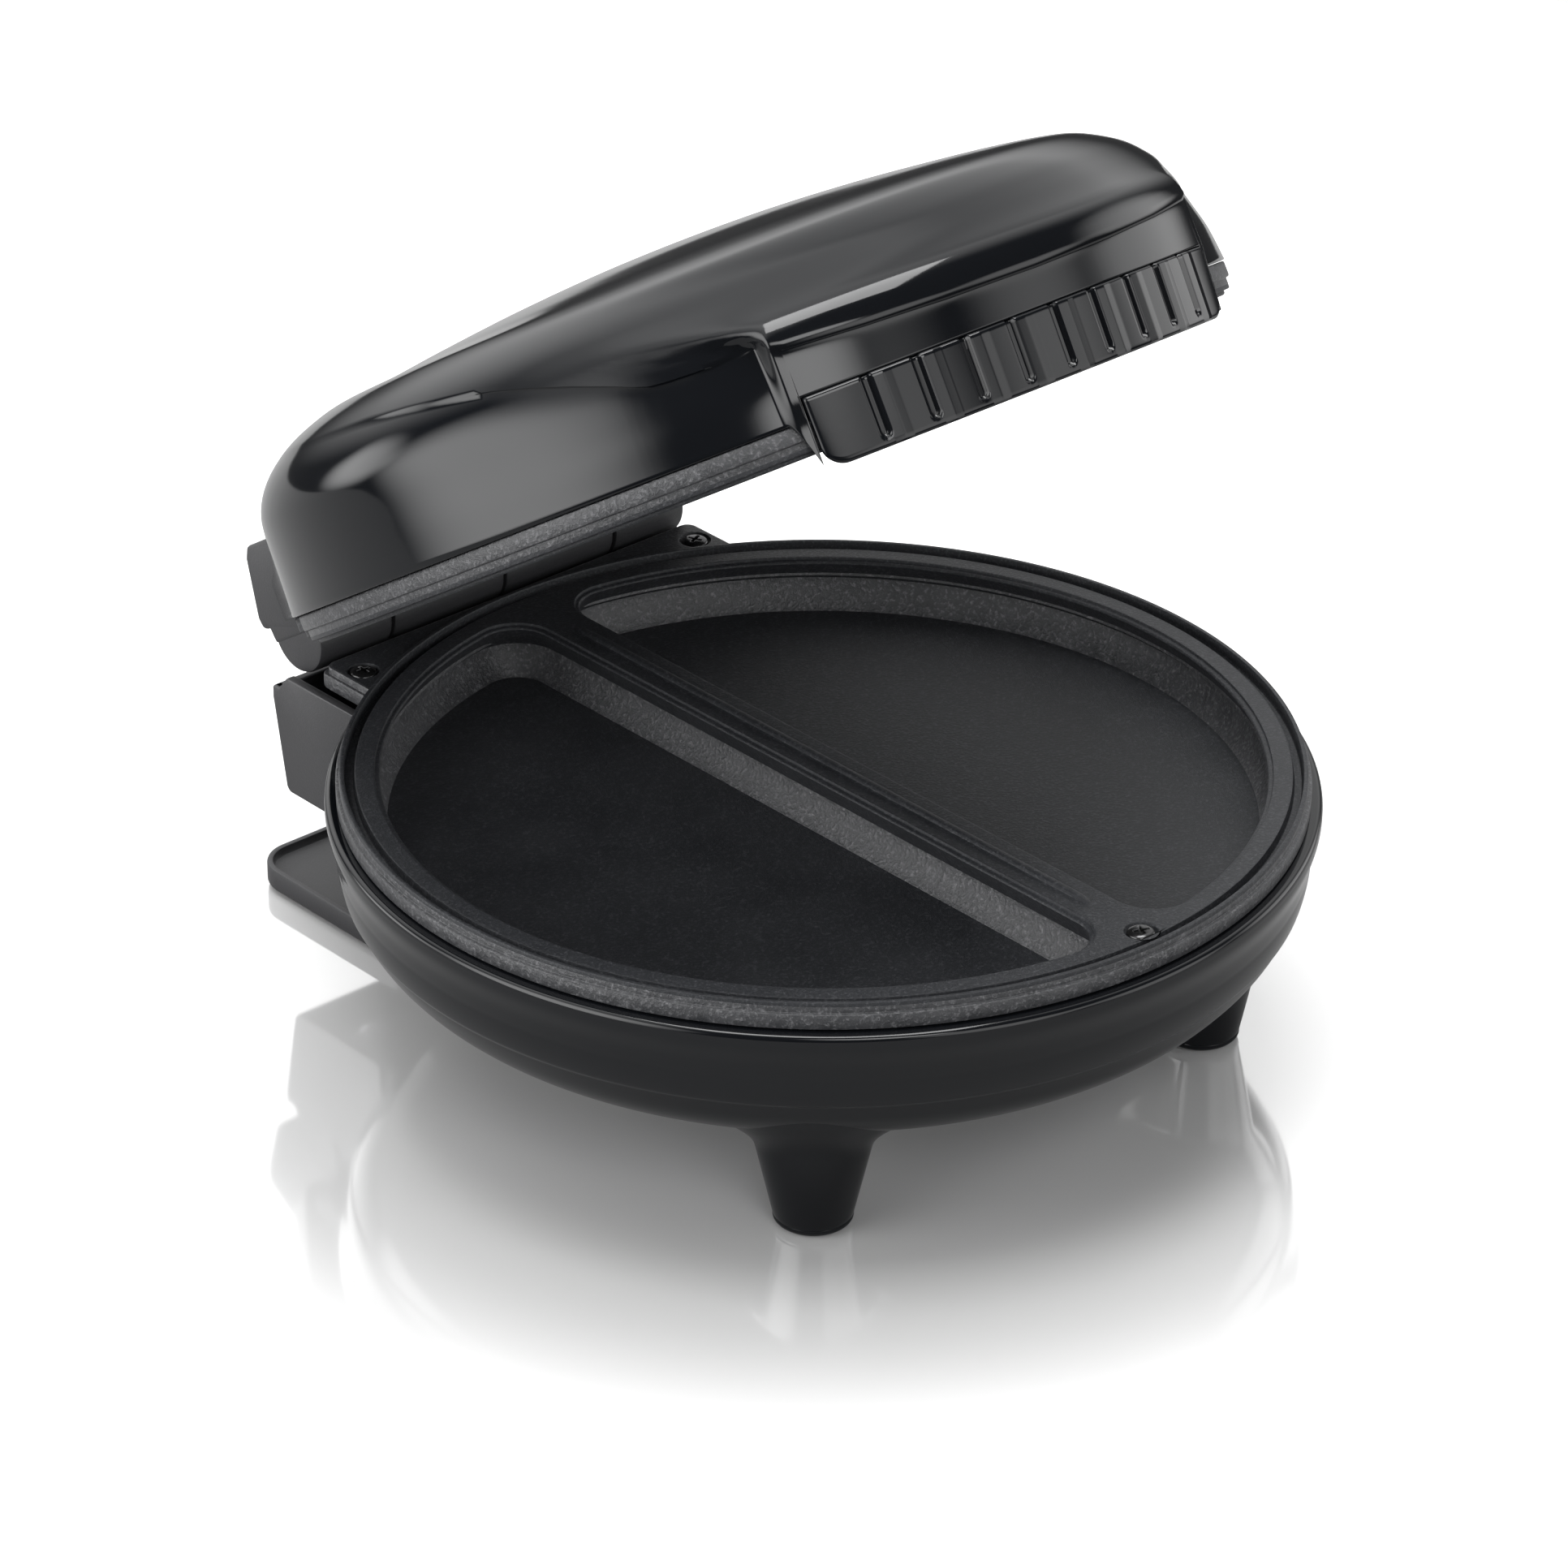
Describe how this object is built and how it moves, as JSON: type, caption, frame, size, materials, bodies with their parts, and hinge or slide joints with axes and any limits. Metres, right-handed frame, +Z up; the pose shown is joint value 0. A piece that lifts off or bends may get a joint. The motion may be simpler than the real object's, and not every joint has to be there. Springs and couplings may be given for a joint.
{
  "type": "electric omelette maker",
  "caption": "Round electric omelette maker with two half-moon wells in each non-stick plate, a domed lid with a fluted front grip and a rear hinge.",
  "frame": {"origin": "middle of the footprint on the floor plane, with the lid at its rest opening", "axes": "+X to the right seen from the front, +Y from the handle towards the hinge, +Z up"},
  "size_m": [0.2156, 0.2412, 0.2139],
  "materials": {
    "gloss_black": "high-gloss moulded black",
    "matt_black": "fine matt moulded black",
    "coated_plate": "cast aluminium with a black non-stick coating",
    "black_screw": "black oxide, slightly shiny",
    "zinc_steel": "zinc plated",
    "heater_steel": "heat-tinted tube",
    "shield_metal": "mill finish sheet",
    "thermostat_case": "phenolic",
    "pale_ceramic": "unglazed",
    "lead_sleeve": "woven sleeve",
    "rubber_black": "soft matt"
  },
  "bodies": {
    "base": {"base_housing": "gloss_black", "hinge_housing": "matt_black", "rear_foot": "matt_black", "front_foot_tips": "rubber_black", "rear_foot_pads": "rubber_black", "rear_foot_screws": "zinc_steel", "hinge_rod": "zinc_steel", "cord_bush": "rubber_black", "lower_plate": "coated_plate", "lower_plate_screws": "black_screw", "lower_heater": "heater_steel", "lower_heat_shield": "shield_metal", "lower_shield_screw": "zinc_steel", "thermostat": "thermostat_case", "thermal_fuse": "pale_ceramic", "terminal_block": "pale_ceramic", "base_lead": "lead_sleeve", "housing_screws": "zinc_steel"},
    "lid": {"lid_housing": "gloss_black", "handle_grip": "gloss_black", "lid_hinge_cover": "matt_black", "upper_plate": "coated_plate", "upper_plate_screws": "black_screw", "upper_heater": "heater_steel", "upper_heat_shield": "shield_metal", "upper_shield_screw": "zinc_steel", "lid_cover_screws": "zinc_steel", "lid_lead": "lead_sleeve"}
  },
  "joints": [
    {"name": "lid_hinge", "type": "hinge", "parent": "base", "child": "lid", "pos_m": [0, 0.1043, 0.0674], "axis": [-1, 0, 0], "range_deg": [-33, 57]}
  ]
}
